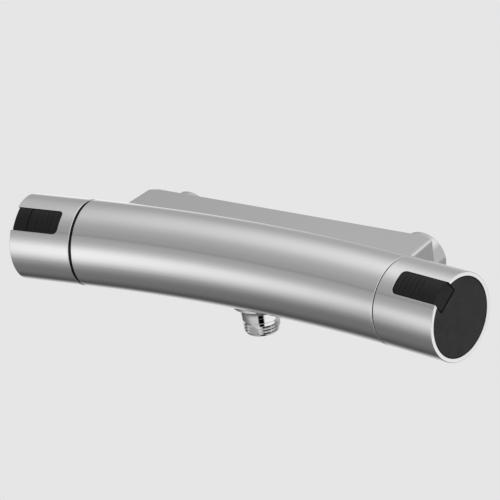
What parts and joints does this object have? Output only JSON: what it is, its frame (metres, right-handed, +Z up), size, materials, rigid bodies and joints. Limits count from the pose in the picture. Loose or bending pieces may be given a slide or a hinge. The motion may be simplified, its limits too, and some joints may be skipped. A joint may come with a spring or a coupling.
{
  "type": "thermostatic shower valve",
  "caption": "Bow-shaped bar mixer for a shower: two turning handles with black grips and push buttons, rear cover, two union nuts and a hose thread below",
  "frame": {"origin": "midway between the two inlets, in the plane where the union nuts meet the wall", "axes": "+X along the bar towards the flow handle, +Y into the wall, +Z up"},
  "size_m": [0.2984, 0.0927, 0.0669],
  "materials": {
    "satin_chrome": "satin chrome plate",
    "polished_chrome": "polished chrome plate",
    "brass": "machined dezincification-resistant brass",
    "grip_black": "moulded black grip, fine matte grain",
    "cap_grey": "moulded dark grey cap, matte",
    "hub_plastic": "glass-filled nylon, dark",
    "ring_black": "black acetal",
    "white_acetal": "white acetal",
    "seal_rubber": "black nitrile rubber",
    "spring_steel": "stainless spring wire",
    "screw_steel": "stainless screw",
    "wax_copper": "copper wax capsule",
    "disc_ceramic": "lapped alumina ceramic"
  },
  "bodies": {
    "body": {"bar_shell": "satin_chrome", "waterway": "brass", "rear_cover": "satin_chrome", "cover_screws": "screw_steel", "outlet_nipple": "polished_chrome", "outlet_seal": "seal_rubber", "hot_nipple": "brass", "hot_washer": "seal_rubber", "hot_filter": "screw_steel", "hot_check_housing": "white_acetal", "hot_check_spring": "spring_steel", "cold_nipple": "brass", "cold_washer": "seal_rubber", "cold_filter": "screw_steel", "cold_check_housing": "white_acetal", "cold_check_spring": "spring_steel", "temp_stop_ring": "ring_black", "thermostat_nut": "brass", "thermostat_housing": "white_acetal", "thermostat_seals": "seal_rubber", "return_spring": "spring_steel", "spring_seat": "white_acetal", "flow_stop_ring": "ring_black", "headwork_housing": "brass", "headwork_seals": "seal_rubber", "fixed_disc": "disc_ceramic", "disc_seal": "seal_rubber"},
    "hot_nut": {"hot_union_nut": "polished_chrome"},
    "cold_nut": {"cold_union_nut": "polished_chrome"},
    "hot_valve": {"hot_poppet": "white_acetal"},
    "cold_valve": {"cold_poppet": "white_acetal"},
    "temp_handle": {"temp_sleeve": "satin_chrome", "temp_grip": "grip_black", "temp_button_spring": "spring_steel", "temp_end_cap": "cap_grey", "temp_hub": "hub_plastic", "temp_screw": "screw_steel", "temp_spindle": "brass"},
    "temp_push": {"temp_button": "grip_black"},
    "thermostat_slide": {"regulating_nut": "brass", "overload_spring": "spring_steel", "overload_cup": "brass", "wax_element": "wax_copper", "shuttle": "white_acetal"},
    "flow_handle": {"flow_sleeve": "satin_chrome", "flow_grip": "grip_black", "flow_button_spring": "spring_steel", "flow_end_cap": "cap_grey", "flow_hub": "hub_plastic", "flow_screw": "screw_steel", "flow_spindle": "brass", "moving_disc": "disc_ceramic"},
    "flow_push": {"flow_button": "grip_black"}
  },
  "joints": [
    {"name": "temp_turn", "type": "hinge", "parent": "body", "child": "temp_handle", "pos_m": [-0.10541, -0.06478, 0.006], "axis": [-0.9918, -0.1281, 0], "range_deg": [-130, 50]},
    {"name": "thermostat_travel", "type": "slide", "parent": "body", "child": "thermostat_slide", "axis": [-0.9918, -0.1281, 0], "range_m": [-0.0012, 0.0006], "deforming": ["return_spring"]},
    {"name": "temp_press", "type": "slide", "parent": "temp_handle", "child": "temp_push", "axis": [-0.0806, 0.6241, -0.7771], "range_m": [0, 0.0008], "stiffness_N_per_m": 800, "springref_m": -0.001, "deforming": ["temp_button_spring"]},
    {"name": "flow_turn", "type": "hinge", "parent": "body", "child": "flow_handle", "pos_m": [0.10541, -0.06478, 0.006], "axis": [0.9918, -0.1281, 0], "range_deg": [0, 90]},
    {"name": "flow_press", "type": "slide", "parent": "flow_handle", "child": "flow_push", "axis": [0.0698, 0.5402, -0.8387], "range_m": [0, 0.0008], "stiffness_N_per_m": 800, "springref_m": -0.001, "deforming": ["flow_button_spring"]},
    {"name": "hot_lift", "type": "slide", "parent": "body", "child": "hot_valve", "axis": [0, -1, 0], "range_m": [0, 0.0023], "stiffness_N_per_m": 60, "springref_m": -0.002, "deforming": ["hot_check_spring"]},
    {"name": "hot_nut_turn", "type": "hinge", "parent": "body", "child": "hot_nut", "pos_m": [-0.08, 0, 0], "axis": [0, 1, 0], "continuous": true},
    {"name": "cold_lift", "type": "slide", "parent": "body", "child": "cold_valve", "axis": [0, -1, 0], "range_m": [0, 0.0023], "stiffness_N_per_m": 60, "springref_m": -0.002, "deforming": ["cold_check_spring"]},
    {"name": "cold_nut_turn", "type": "hinge", "parent": "body", "child": "cold_nut", "pos_m": [0.08, 0, 0], "axis": [0, 1, 0], "continuous": true}
  ],
  "couplings": [
    {"joint": "thermostat_travel", "follows": "temp_turn", "m_per_rad": 0.00047746}
  ]
}
